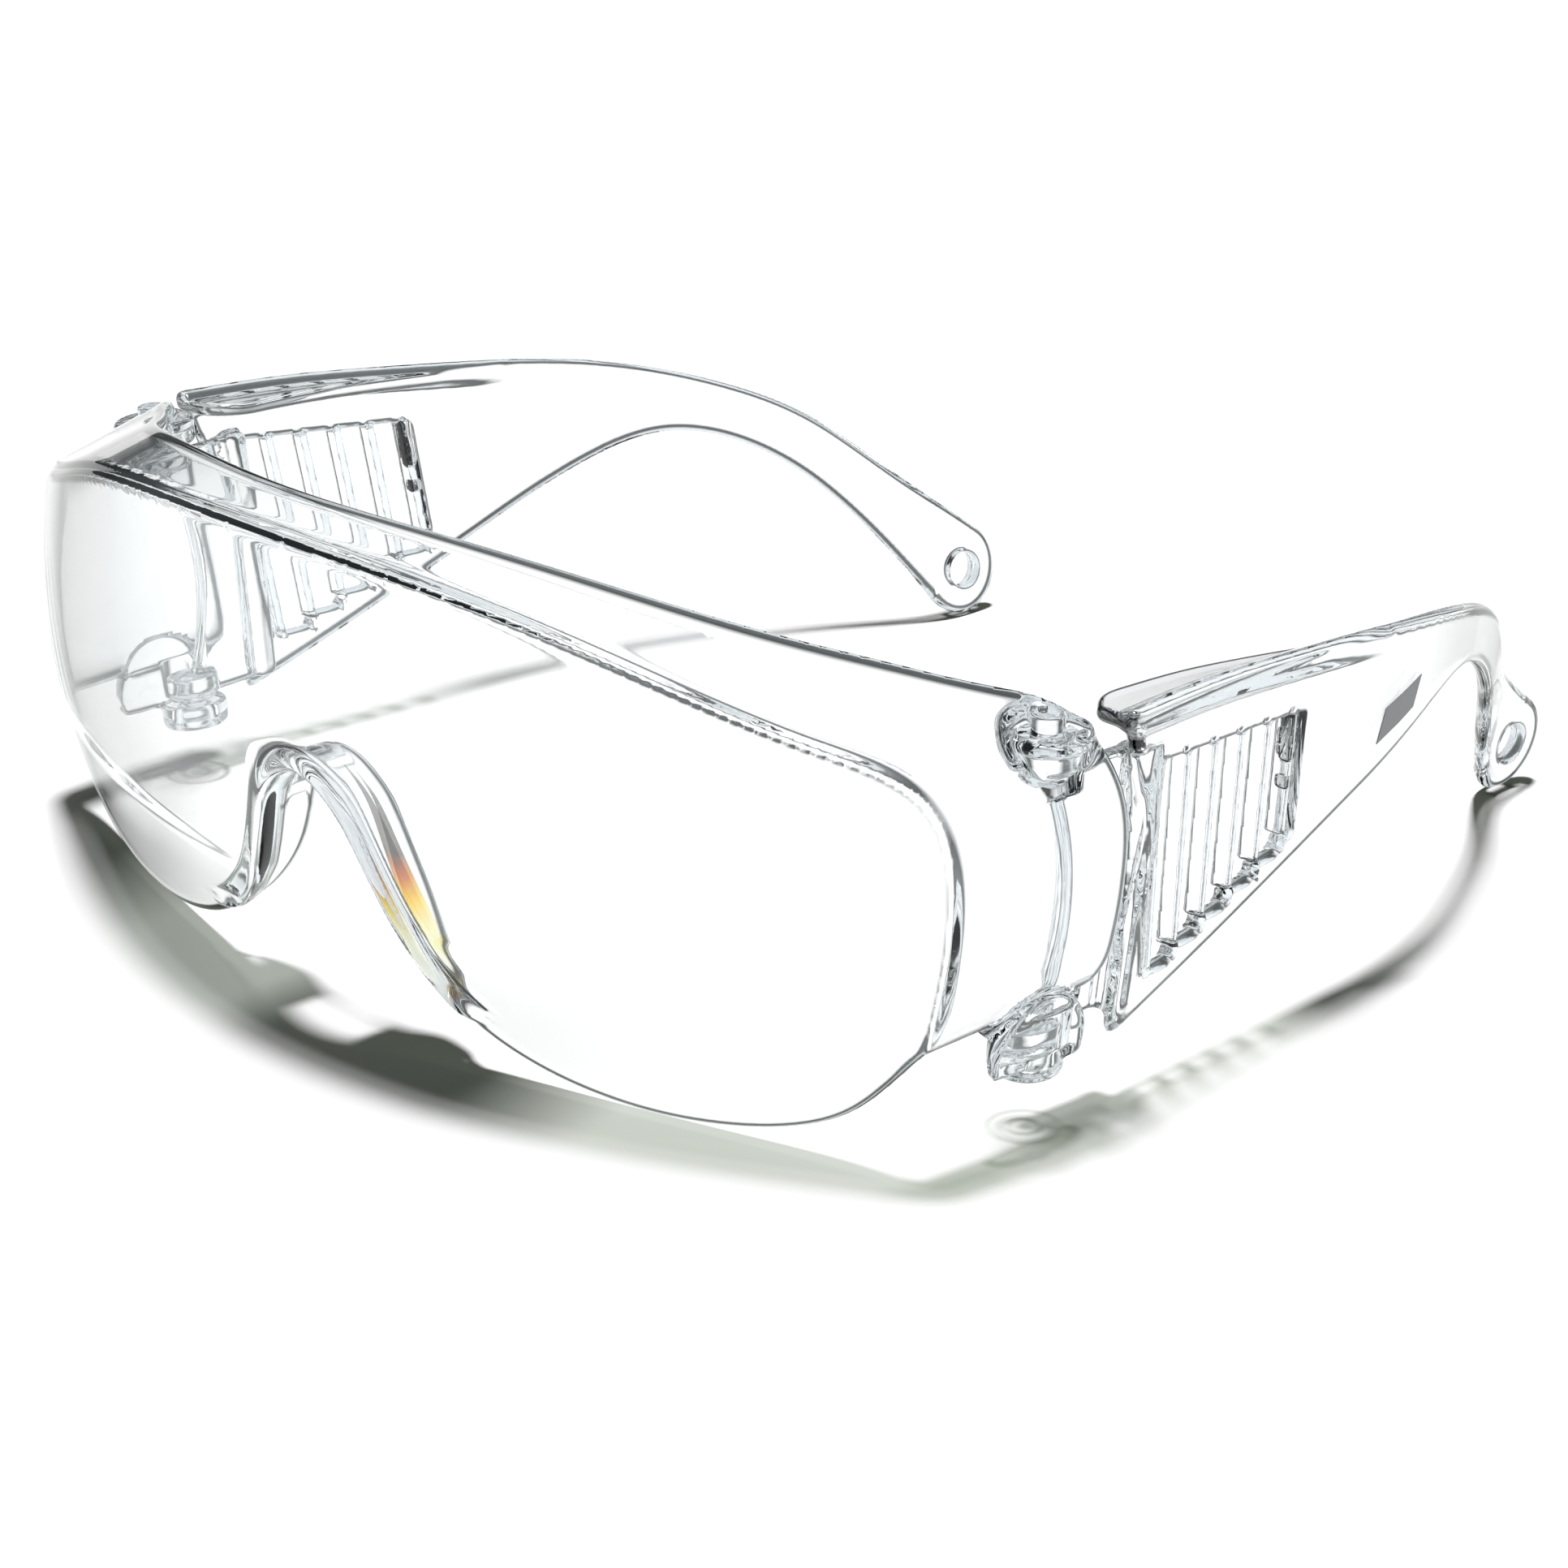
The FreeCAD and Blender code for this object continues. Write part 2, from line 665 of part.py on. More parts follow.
def temple():
    plate = fuse("BladeAndLedge", temple_blade(), temple_ledge())
    blade = cut("BladeVented", plate, fuse("BladeHoles", vent_window(), cord_hole()))
    return fuse("TempleLeft", fuse("BladeAndArms", blade, hinge_arms()), louvres())


# ---------------------------------------------------------------- printed mark

PRINT_CORNERS = ((50.2, 27.4), (57.0, 29.8), (57.8, 33.4), (51.0, 31.4))


def print_mark():
    """Plain slanted bar printed on the outside of the left temple."""
    band = plan_band("PrintBand", -size("print_thickness"), 0.0)
    shape = side_solid("PrintSide", polygon(PRINT_CORNERS))
    return common("PrintMark", band, shape)


# ---------------------------------------------------------------- assembly and files

shield = lens_shield()
temple_left = temple()
temple_right = mirrored("TempleRight", temple_left)
mark = print_mark()

NODES = {
    "lens_shield": shield,
    "temple_left": temple_left,
    "temple_right": temple_right,
    "print_mark": mark,
}
for label, piece in NODES.items():
    piece.Label = label
# A mirrored piece follows the place of its source, so only the sources are moved.
for piece in (shield, temple_left, mark):
    piece.setExpression("Placement.Base.y", "-Sizes.origin_shift")
doc.recompute()

for item in doc.Objects:
    if "Invalid" in item.State or "Error" in item.State:
        raise RuntimeError("%s failed: %s" % (item.Name, item.State))
for label, piece in NODES.items():
    if piece.Shape.isNull() or not piece.Shape.isValid():
        raise RuntimeError("%s has no valid shape" % label)

os.makedirs("parts", exist_ok=True)
for label, piece in NODES.items():
    piece.Shape.exportStep("parts/%s.step" % label)
    bounds = piece.Shape.optimalBoundingBox()
    print(label, "solids", len(piece.Shape.Solids), "volume %.0f" % piece.Shape.Volume,
          "x %.1f..%.1f y %.1f..%.1f z %.1f..%.1f" % (
              bounds.XMin, bounds.XMax, bounds.YMin, bounds.YMax, bounds.ZMin, bounds.ZMax))
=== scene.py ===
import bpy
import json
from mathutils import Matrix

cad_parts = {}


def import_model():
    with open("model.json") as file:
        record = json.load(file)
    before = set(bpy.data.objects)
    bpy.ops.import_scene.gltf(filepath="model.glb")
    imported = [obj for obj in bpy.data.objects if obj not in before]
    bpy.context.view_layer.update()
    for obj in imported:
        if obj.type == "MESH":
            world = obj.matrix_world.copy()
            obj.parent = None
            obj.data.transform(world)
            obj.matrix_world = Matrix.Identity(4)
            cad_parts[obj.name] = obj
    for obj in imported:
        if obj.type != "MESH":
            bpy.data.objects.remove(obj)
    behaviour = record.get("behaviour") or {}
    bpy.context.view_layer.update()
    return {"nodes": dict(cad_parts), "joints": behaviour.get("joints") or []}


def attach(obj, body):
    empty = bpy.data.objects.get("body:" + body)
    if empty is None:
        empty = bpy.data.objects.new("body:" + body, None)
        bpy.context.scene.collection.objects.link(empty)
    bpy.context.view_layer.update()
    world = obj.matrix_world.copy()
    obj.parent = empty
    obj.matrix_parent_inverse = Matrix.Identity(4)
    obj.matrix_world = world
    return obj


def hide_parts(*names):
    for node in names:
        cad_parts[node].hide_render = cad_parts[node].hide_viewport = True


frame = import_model()

import json
import math

import bpy
import numpy as np
from mathutils import Vector

# Clear safety glasses on a bright table. The CAD mouldings are replaced by smooth ones: each mesh is
# settled onto a distance function of the same shape, with rounded edges. Lengths are in millimetres and
# in the head frame of the CAD, until a mesh is written.

scene = bpy.context.scene
scene.view_settings.view_transform = "Standard"
scene.view_settings.look = "None"
scene.cycles.max_bounces = 24
scene.cycles.transmission_bounces = 20
scene.cycles.glossy_bounces = 8
scene.cycles.transparent_max_bounces = 24
scene.cycles.caustics_reflective = False
scene.cycles.caustics_refractive = False
scene.cycles.blur_glossy = 0.0
scene.cycles.sample_clamp_indirect = 4.0


# ---------------------------------------------------------------- materials

IOR = 1.586                 # polycarbonate


class Nodes:
    """Small helper for wiring a node tree."""

    def __init__(self, tree):
        self.tree = tree
        tree.nodes.clear()

    def add(self, kind, inputs=None, **settings):
        node = self.tree.nodes.new(kind)
        for key, value in settings.items():
            setattr(node, key, value)
        for key, value in (inputs or {}).items():
            if isinstance(value, bpy.types.NodeSocket):
                self.tree.links.new(value, node.inputs[key])
            else:
                node.inputs[key].default_value = value
        return node


def ramp_of(n, factor, stops):
    """Colour ramp with the given places and colours, read at factor."""
    ramp = n.add("ShaderNodeValToRGB", {0: factor})
    elements = ramp.color_ramp.elements
    while len(elements) > 1:
        elements.remove(elements[-1])
    elements[0].position, elements[0].color = stops[0][0], (*stops[0][1], 1)
    for place, color in stops[1:]:
        elements.new(place).color = (*color, 1)
    return ramp.outputs[0]


def blend(n, factor, a, b):
    """Mix of two colours."""
    mix = n.add("ShaderNodeMix", data_type="RGBA")
    for index, value in ((0, factor), (6, a), (7, b)):
        if isinstance(value, bpy.types.NodeSocket):
            n.tree.links.new(value, mix.inputs[index])
        else:
            mix.inputs[index].default_value = (*value, 1)
    return mix.outputs[2]


def scaled(n, value, start, length):
    """Number socket that runs from 0 at start to 1 at start + length."""
    offset = n.add("ShaderNodeMath", {0: value, 1: start}, operation="SUBTRACT")
    return n.add("ShaderNodeMath", {0: offset.outputs[0], 1: length}, operation="DIVIDE").outputs[0]


def inside_box(n, places, low, high):
    """1 inside the limits, 0 outside."""
    result = 1.0
    for place, a, b in zip(places, low, high):
        for operation, limit in (("GREATER_THAN", a), ("LESS_THAN", b)):
            test = n.add("ShaderNodeMath", {0: place, 1: limit}, operation=operation).outputs[0]
            result = n.add("ShaderNodeMath", {0: result, 1: test}, operation="MULTIPLY").outputs[0]
    return result


def clear_plastic(name, tint, axis, start, length, shades, painted_spectrum=None):
    """Clear moulding. Its shadow is densest where light meets a face at a slant.

    shades are the densest shadow colours along one axis of the row frame, from start (metres).
    painted_spectrum is (low limits, high limits, stops): painted dispersion colours and a painted dark band,
    laid into the tint where the real plastic splits and bends light. The limits are for x, y, the distance
    behind the leaning panel, and z, along which the colours run."""
    material = bpy.data.materials.new(name)
    material.use_nodes = True
    n = Nodes(material.node_tree)
    place = n.add("ShaderNodeTexCoord")
    parts = n.add("ShaderNodeSeparateXYZ", {0: place.outputs["Object"]})
    glass = n.add("ShaderNodeBsdfPrincipled", {
        "Base Color": (*tint, 1), "Roughness": 0.0, "IOR": IOR, "Transmission Weight": 1.0})
    # Painted dispersion colours and a painted dark band: light effects laid into the plastic's own tint
    # inside a box.
    if painted_spectrum:
        low, high, stops = painted_spectrum
        colors = ramp_of(n, scaled(n, parts.outputs["Z"], low[3], high[3] - low[3]), stops)
        level = n.add("ShaderNodeMath", {0: parts.outputs["Z"], 1: PANEL_LEAN}, operation="MULTIPLY")
        behind = n.add("ShaderNodeMath", {0: parts.outputs["Y"], 1: level.outputs[0]}, operation="ADD")
        places = (parts.outputs["X"], parts.outputs["Y"], behind.outputs[0], parts.outputs["Z"])
        inside = inside_box(n, places, low, high)
        n.tree.links.new(blend(n, inside, tint, colors), glass.inputs["Base Color"])
    fresnel = n.add("ShaderNodeFresnel", {"IOR": IOR})
    through = n.add("ShaderNodeMath", {0: 1.0, 1: fresnel.outputs[0]}, operation="SUBTRACT")
    dense = ramp_of(n, scaled(n, parts.outputs[axis], start, length), shades)
    shade = blend(n, through.outputs[0], dense, (1, 1, 1))
    clear = n.add("ShaderNodeBsdfTransparent", {"Color": shade})
    path = n.add("ShaderNodeLightPath")
    mix = n.add("ShaderNodeMixShader", {
        0: path.outputs["Is Shadow Ray"], 1: glass.outputs[0], 2: clear.outputs[0]})
    n.add("ShaderNodeOutputMaterial", {"Surface": mix.outputs[0]})
    return material


def plain(name, color, rough):
    """Even, opaque material."""
    material = bpy.data.materials.new(name)
    material.use_nodes = True
    n = Nodes(material.node_tree)
    bsdf = n.add("ShaderNodeBsdfPrincipled", {"Base Color": (*color, 1), "Roughness": rough})
    n.add("ShaderNodeOutputMaterial", {"Surface": bsdf.outputs[0]})
    return material


def dress(node, material):
    """Gives a CAD node its material."""
    obj = frame["nodes"][node]
    obj.data.materials.clear()
    obj.data.materials.append(material)


# ---------------------------------------------------------------- numeric helpers

def smooth_max(a, b, radius):
    """Larger of two distances, with the edge between them rounded."""
    overlap = np.maximum(radius - np.abs(a - b), 0.0) / radius
    return np.maximum(a, b) + overlap * overlap * radius * 0.25


def smooth_min(a, b, radius):
    return -smooth_max(-a, -b, radius)


def both(radius, *distances):
    """Inside every shape."""
    result = distances[0]
    for other in distances[1:]:
        result = smooth_max(result, other, radius)
    return result


class Curve:
    """Smooth height curve through points: a natural cubic spline, straight beyond its ends."""

    def __init__(self, points):
        points = sorted(points)
        self.x = np.array([p[0] for p in points], float)
        self.y = np.array([p[1] for p in points], float)
        step = np.diff(self.x)
        slope = np.diff(self.y) / step
        count = len(points)
        matrix = np.eye(count)
        right = np.zeros(count)
        for i in range(1, count - 1):
            matrix[i, i - 1:i + 2] = step[i - 1], 2 * (step[i - 1] + step[i]), step[i]
            right[i] = 6 * (slope[i] - slope[i - 1])
        self.bend = np.linalg.solve(matrix, right)

    def both(self, at):
        """Height and slope at each place."""
        x, y, bend = self.x, self.y, self.bend
        i = np.clip(np.searchsorted(x, at) - 1, 0, len(x) - 2)
        width = x[i + 1] - x[i]
        inside = np.clip(at, x[0], x[-1])
        a, b = (x[i + 1] - inside) / width, (inside - x[i]) / width
        height = a * y[i] + b * y[i + 1]
        height += ((a ** 3 - a) * bend[i] + (b ** 3 - b) * bend[i + 1]) * width ** 2 / 6
        slope = (y[i + 1] - y[i]) / width
        slope += ((3 * b * b - 1) * bend[i + 1] - (3 * a * a - 1) * bend[i]) * width / 6
        return height + slope * (at - inside), slope

    def over(self, at, height):
        """Distance of a point above the curve, negative below."""
        level, slope = self.both(at)
        return (height - level) / np.sqrt(1 + slope * slope)


def mirrored(points):
    """Points with x above 0, and their mirror images."""
    return list(points) + [(-x, z) for x, z in points if x > 0]


def lagrange(at, places):
    """Weights of a parabola through three places."""
    weights = []
    for i, here in enumerate(places):
        weight = 1.0
        for j, other in enumerate(places):
            if j != i:
                weight = weight * (at - other) / (here - other)
        weights.append(weight)
    return weights


def gradient(shape, points, step=0.02):
    """Slope of a distance function at each point."""
    parts = []
    for axis in range(3):
        offset = np.zeros(3)
        offset[axis] = step
        parts.append((shape(points + offset) - shape(points - offset)) / (2 * step))
    return np.stack(parts, axis=1)


# ---------------------------------------------------------------- hinge axis (mm, head frame)

pivot_record = next(j for j in frame["joints"] if j["name"] == "fold_left")
PIVOT = np.array(pivot_record["pos_m"]) * 1000
AXIS = np.array(pivot_record["axis"])
HEAD_SHIFT = -2.2 - PIVOT[1]        # the head frame's origin lies this far in front of the row's
PIVOT[1] += HEAD_SHIFT
SPAN = 34.784
LUG = (-2.7, 0.4)
BARREL = (SPAN - 2.8, SPAN + 0.6)
BARREL_FLOOR = SPAN - 1.0
KNUCKLE_LOW = (LUG[1] + 0.15, LUG[1] + 3.15)
KNUCKLE_TOP = (BARREL_FLOOR - 4.15, BARREL_FLOOR - 0.15)
PEG_LOW = (LUG[0] - 0.5, LUG[1] + 1.0)
PEG_TOP = (BARREL_FLOOR - 1.0, SPAN + 2.2)
PEG_RADIUS, PEG_HOLE_RADIUS = 1.65, 1.73
KNUCKLE_RADIUS, ROOM_RADIUS, BARREL_RADIUS, LUG_RADIUS = 2.9, 3.2, 4.8, 3.9
ROOM_TOP, ROOM_LOW = (BARREL[0] - 3, BARREL_FLOOR), (LUG[1], LUG[1] + 5)
HOLE_TOP, HOLE_LOW = (BARREL_FLOOR - 1, BARREL[1] + 5), (LUG[0] - 5, LUG[1] + 1)


def axis_places(x, y, z):
    """Distance along the hinge axis and away from it."""
    dx, dy, dz = x - PIVOT[0], y - PIVOT[1], z - PIVOT[2]
    along = dx * AXIS[0] + dy * AXIS[1] + dz * AXIS[2]
    away = np.sqrt(np.maximum(dx * dx + dy * dy + dz * dz - along * along, 1e-9))
    return along, away


def drum(along, away, radius, ends, edge):
    """Cylinder on the hinge axis with rounded edges."""
    middle, half = (ends[0] + ends[1]) / 2, (ends[1] - ends[0]) / 2
    return smooth_max(away - radius, np.abs(along - middle) - half, edge)


# ---------------------------------------------------------------- lens shield

WALL = 2.2
CREASE_DEPTH, CREASE_WIDTH = 0.35, 0.9     # shallow groove where panel and wings meet
RIM = 1.7                  # rounding of moulded rims
PANEL_LEVELS, PANEL_RADII = (-6.0, 30.0, 62.0), (145.0, 145.0, 98.0)
PANEL_CENTRE, PANEL_LEAN = -34.6, 0.178
TUBE_FRONT, TUBE_DEPTH = -50.0, 60.0
TUBE_HUB = -30.0           # height of the point that the tube's outline is measured from
TUBE_POINTS = (
    ((0, 55.8), (0, 71.0)), ((31.4, 51.8), (33.9, 66.0)), ((60, 40.4), (65, 51.8)),
    ((68, 34.5), (75.6, 46.4)), ((71.6, 24.0), (78.6, 37.0)), ((72.0, 16.0), (76.6, 24.0)),
    ((68.5, 6.0), (73.4, 9.0)), ((68.5, -8.0), (73.4, -8.0)))
LOWER_EDGE = Curve(mirrored((
    (0, 28.6), (4.4, 26.6), (7.0, 23.2), (9.0, 19.0), (11.8, 13.6), (15.6, 8.8), (20.5, 5.0), (27.0, 2.2),
    (35.0, 0.5), (42.0, 0.0), (50.0, 0.5), (58.0, 2.3), (65.0, 6.2), (69.6, 11.0))))
LEDGE_REAR = Curve(mirrored((
    (0, -36.9), (20, -34.0), (35, -28.2), (50, -18.6), (61, -9.8), (69.5, -3.0), (75.5, 4.0))))
WING_REAR = Curve((
    (4.0, 3.6), (10.0, 4.2), (20.0, 4.8), (29.0, 4.2), (38.0, 2.6), (44.0, 0.2), (52.0, -2.5)))
FLANGE_REAR = Curve(((5.6, -34.6), (7.4, -32.0), (10.4, -30.4), (15.5, -29.8), (20.3, -30.2),
                     (27.0, -31.0), (40.0, -33.0)))
FLANGE_WALL, FLANGE_END = 1.8, 5.6
WING_BOTTOM, LEDGE_CUT = 12.3, 42.5
PAD_MIDDLE, PAD_HALF, PAD_LOW, PAD_SPRING, PAD_INNER, PAD_PROUD = -4.6, 6.4, 7.8, 10.0, 71.9, 1.0


def tube_curves():
    """Outline of the tube at its front, middle and rear, as distance from the hub against angle."""
    curves = []
    for share in (0.0, 0.5, 1.0):
        knots = []
        for front, rear in TUBE_POINTS:
            x = front[0] * (1 - share) + rear[0] * share
            z = front[1] * (1 - share) + rear[1] * share - TUBE_HUB
            knots.append((math.atan2(x, z), math.hypot(x, z)))
        curves.append(Curve(mirrored(knots)))
    return curves


TUBE_CURVES = tube_curves()


def tube(x, y, z):
    """Outer surface of brow ledge and wings: negative inside."""
    up = z - TUBE_HUB
    angle, reach = np.arctan2(x, up), np.hypot(x, up)
    level, slope = 0.0, 0.0
    for weight, curve in zip(lagrange((y - TUBE_FRONT) / TUBE_DEPTH, (0.0, 0.5, 1.0)), TUBE_CURVES):
        height, rise = curve.both(angle)
        level, slope = level + weight * height, slope + weight * rise
    return (reach - level) / np.sqrt(1 + (slope / level) ** 2)


def panel(x, y, z):
    """Front viewing panel: negative behind its outer surface."""
    sag, slope = 0.0, 0.0
    for weight, radius in zip(lagrange(z, PANEL_LEVELS), PANEL_RADII):
        depth = np.sqrt(np.maximum(radius * radius - x * x, 1.0))
        sag, slope = sag + weight * (radius - depth), slope + weight * x / depth
    surface = PANEL_CENTRE - PANEL_LEAN * z + sag
    return (surface - y) / np.sqrt(1 + slope * slope)


def hinge_mounts(x, y, z, tube_distance, along, away):
    """Barrel above, lug below and the pad that ties the lug to the wing."""
    barrel = drum(along, away, BARREL_RADIUS, BARREL, 1.0)
    lug = drum(along, away, LUG_RADIUS, LUG, 0.8)
    away_from_middle = np.hypot(y - PAD_MIDDLE, np.maximum(z - PAD_SPRING, 0))
    dome = away_from_middle - PAD_HALF
    pad = both(1.0, dome, PAD_LOW - z, PAD_INNER - x, tube_distance - PAD_PROUD)
    return smooth_min(barrel, smooth_min(lug, pad, 0.6), 0.6)


def shield_shape(points):
    """Signed distance to the moulded lens shield, both halves."""
    x, y, z = np.abs(points[:, 0]), points[:, 1], points[:, 2]
    tube_distance, panel_distance = tube(x, y, z), panel(x, y, z)
    groove = CREASE_DEPTH * np.exp(-((tube_distance - panel_distance) / CREASE_WIDTH) ** 2)
    outer = smooth_max(tube_distance, panel_distance, 1.2) + groove
    inner = smooth_max(tube_distance + WALL, panel_distance + WALL, 0.30)
    shell = np.maximum(outer, -inner)
    rear = smooth_max(smooth_min(y - LEDGE_REAR.both(x)[0], z - LEDGE_CUT, 3.0), WING_REAR.over(z, y), 3.0)
    under = smooth_min(WING_BOTTOM - z, -(panel_distance + WALL), 2.0)
    low = -LOWER_EDGE.over(x, z)
    shell = both(RIM, shell, rear, under, low)
    flange = both(1.3, low, -(low + FLANGE_WALL), panel_distance, y - FLANGE_REAR.both(z)[0], FLANGE_END - z)
    shell = smooth_min(shell, flange, 1.6)
    along, away = axis_places(x, y, z)
    shell = smooth_min(shell, hinge_mounts(x, y, z, tube_distance, along, away), 0.8)
    room = np.minimum(drum(along, away, ROOM_RADIUS, ROOM_TOP, 0.3),
                      drum(along, away, ROOM_RADIUS, ROOM_LOW, 0.3))
    holes = np.minimum(drum(along, away, PEG_HOLE_RADIUS, HOLE_LOW, 0.1),
                       drum(along, away, PEG_HOLE_RADIUS, HOLE_TOP, 0.1))
    return smooth_max(shell, -np.minimum(room, holes), 0.4)


# ---------------------------------------------------------------- temples

LEAN = 0.1317
LEAN_DROP = LEAN * 40.0
BLADE_WALL = 2.3
BLADE_FRONT = 7.2
SHOULDER_LEVEL, SHOULDER_SLOPE = 31.0, 0.288
TIP_RADIUS, TIP_Y = 6.0, 107.3
TIP_SPRING, TIP_SLOPE = (102.33, 2.64), 0.73
SIDE_END = 111.0
TOP_EDGE = Curve(((3.2, 44.9), (18.0, 44.4), (34.0, 42.9), (54.0, 40.5), (66.0, 38.3), (80.5, 33.6),
                  (91.0, 27.6), (100.0, 19.4), (111.0, 10.73)))
BOTTOM_EDGE = Curve((TIP_SPRING, (96.0, 12.0), (89.0, 20.2), (83.0, 24.8), (77.0, 27.6), (70.0, 28.6),
                     (64.0, 27.6), (56.0, 25.0), (41.0, 19.4), (22.0, 12.4), (7.2, 7.4)))
LEDGE_INNER = Curve(((4.0, 71.6), (6.6, 69.6), (10.5, 69.0), (18.0, 69.1), (27.0, 69.5), (36.5, 70.0),
                     (50.0, 70.6)))
LEDGE_FRONT, LEDGE_END, LEDGE_STEP, LEDGE_WALL = 3.3, 50.0, 0.8, 1.6
VENT_TOP = ((8.0, 37.9), (34.2, 35.9))
VENT_LOW = (11.0, 36.2)
STEP_LOW, STEP_RISE = 13.4, 1.6
SLAT_COUNT, SLAT_WALL, SLAT_PROUD = 6, 1.0, 0.4
CORD_CENTRE, CORD_RADIUS = (107.3, 6.0), 2.3


FRONT_FACE, FRONT_SLOPE = 71.83, 0.1111     # outer face in plan: straight run, bend, tail that turns back
TAIL_FACE = Curve(((2.7, 97.57), (54.0, 74.68), (80.4, 62.9), (92.2, 57.4), (99.0, 53.6), (103.5, 51.7),
                   (108.0, 51.2), (116.0, 51.2)))


def blade_face(y):
    """Plan of the temple's outer face at table level, and its slope."""
    front = FRONT_FACE - FRONT_SLOPE * (y - BLADE_FRONT)
    tail, slope = TAIL_FACE.both(y)
    return smooth_min(front, tail - LEAN_DROP, 4.8), np.where(y < 62.4, -FRONT_SLOPE, slope)


def slat_share(y, z):
    """Place across the vent, from 0 at its front end to 1 at its rear end, and its width there."""
    down = (VENT_TOP[0][1] - z) / (VENT_TOP[0][1] - STEP_LOW)
    front = VENT_TOP[0][0] + down * (VENT_LOW[0] - VENT_TOP[0][0])
    rear = VENT_TOP[1][0] + down * (VENT_LOW[1] - VENT_TOP[1][0])
    return (y - front) / (rear - front), rear - front


def vent_shape(y, z):
    """Vent with a level step at the foot of each bay."""
    share, width = slat_share(y, z)
    bay = np.clip(np.floor(share * (SLAT_COUNT - 0.5) - 0.15 - 0.14), 0, SLAT_COUNT - 1)
    foot = STEP_LOW + STEP_RISE * bay
    slope = (VENT_TOP[1][1] - VENT_TOP[0][1]) / (VENT_TOP[1][0] - VENT_TOP[0][0])
    top = z - VENT_TOP[0][1] - slope * (y - VENT_TOP[0][0])
    return both(0.8, top, foot - z, -share * width, (share - 1) * width)


ARM_GAP = 0.7
ARM_FRONT = (-3.6, -0.4, -4.6)      # front edge of the plate: low, middle and top
ARM_END, ARM_ROOT_FACE = 9.5, 71.5
ARM_OUTER, ARM_OUTER_SLOPE = 68.56, 0.0658
ARM_INNER, ARM_INNER_SLOPE = 66.49, 0.0571


def hinge_arms(u, y, z, along, away):
    """Front plate inside the wing, with a knuckle and a peg above and below."""
    low, top = PIVOT[2] + LUG[1] + ARM_GAP, PIVOT[2] + BARREL[0] - 2 * ARM_GAP
    weights = lagrange(z, (low, (low + top) / 2, top))
    front = sum(place * weight for place, weight in zip(ARM_FRONT, weights))
    outer = ARM_OUTER + ARM_OUTER_SLOPE * y
    inner = ARM_INNER + ARM_INNER_SLOPE * y
    plate = both(1.0, front - y, y - ARM_END, low - z, z - top, inner - u, u - outer)
    root = both(0.8, BLADE_FRONT - y, y - ARM_END, low - z, z - top, inner - u, u - ARM_ROOT_FACE)
    arms = smooth_min(plate, root, 0.6)
    for ends, radius in ((KNUCKLE_LOW, KNUCKLE_RADIUS), (KNUCKLE_TOP, KNUCKLE_RADIUS)):
        arms = smooth_min(arms, drum(along, away, radius, ends, 0.5), 0.5)
    for ends in (PEG_LOW, PEG_TOP):
        arms = smooth_min(arms, drum(along, away, PEG_RADIUS, ends, 0.5), 0.1)
    return arms


def temple_shape(points):
    """Signed distance to the left temple; the right one is its mirror image."""
    x, y, z = points[:, 0], points[:, 1], points[:, 2]
    u = x - LEAN * z
    face, slope = blade_face(y)
    flat = 1 / np.sqrt(1 + LEAN * LEAN + slope * slope)
    band = np.maximum(u - face, face - BLADE_WALL - u) * flat
    top = TOP_EDGE.over(y, z)
    foot = TIP_SPRING[1] + (y - TIP_SPRING[0]) * TIP_SLOPE - z
    bottom = np.where(y < TIP_SPRING[0], -BOTTOM_EDGE.over(y, z), foot)
    fore = BLADE_FRONT - np.maximum(z - SHOULDER_LEVEL, 0) * SHOULDER_SLOPE - y
    side = both(1.0, top, bottom, fore, y - SIDE_END)
    side = np.minimum(side, np.hypot(y - TIP_Y, z - TIP_RADIUS) - TIP_RADIUS)
    blade = smooth_max(band, side, 1.5)
    inner_height, inner_slope = LEDGE_INNER.both(y)
    inner = (inner_height - LEAN_DROP - u) / np.sqrt(1 + inner_slope * inner_slope)
    shelf = both(1.0, top + LEDGE_STEP, -(top + LEDGE_STEP + LEDGE_WALL), inner, u - face,
                 LEDGE_FRONT - y, y - LEDGE_END)
    blade = smooth_min(blade, shelf, 1.0)
    vent = vent_shape(y, z)
    blade = smooth_max(blade, -vent, 0.8)
    bore = np.hypot(y - CORD_CENTRE[0], z - CORD_CENTRE[1]) - CORD_RADIUS
    blade = smooth_max(blade, -bore, 0.8)
    share, width = slat_share(y, z)
    for i in range(SLAT_COUNT):
        across = (share - (i + 0.15) / (SLAT_COUNT - 0.5)) * width - SLAT_WALL / 2
        slat = both(0.5, np.abs(across) - SLAT_WALL / 2, u - face + 0.2, face - BLADE_WALL - SLAT_PROUD - u,
                    vent - 0.5)
        blade = smooth_min(blade, slat, 0.3)
    along, away = axis_places(x, y, z)
    return smooth_min(blade, hinge_arms(u, y, z, along, away), 0.8)


def right_temple_shape(points):
    return temple_shape(points * np.array((-1.0, 1.0, 1.0)))


# ---------------------------------------------------------------- moulded meshes

VOXEL = 0.00042             # metres
STEP_LIMIT = 0.5            # mm a point may move at once
SETTLE_ROUNDS, SETTLE_AGAIN = 3, 2
RELAX_ROUNDS, RELAX_SHARE = 3, 0.5


def relax(points, edges, share):
    """Moves each point part of the way to the middle of its neighbours."""
    total = np.zeros_like(points)
    count = np.bincount(edges.ravel(), minlength=len(points)).astype(float)
    for axis in range(3):
        total[:, axis] = np.bincount(edges[:, 0], points[edges[:, 1], axis], len(points))
        total[:, axis] += np.bincount(edges[:, 1], points[edges[:, 0], axis], len(points))
    return points + share * (total / count[:, None] - points)


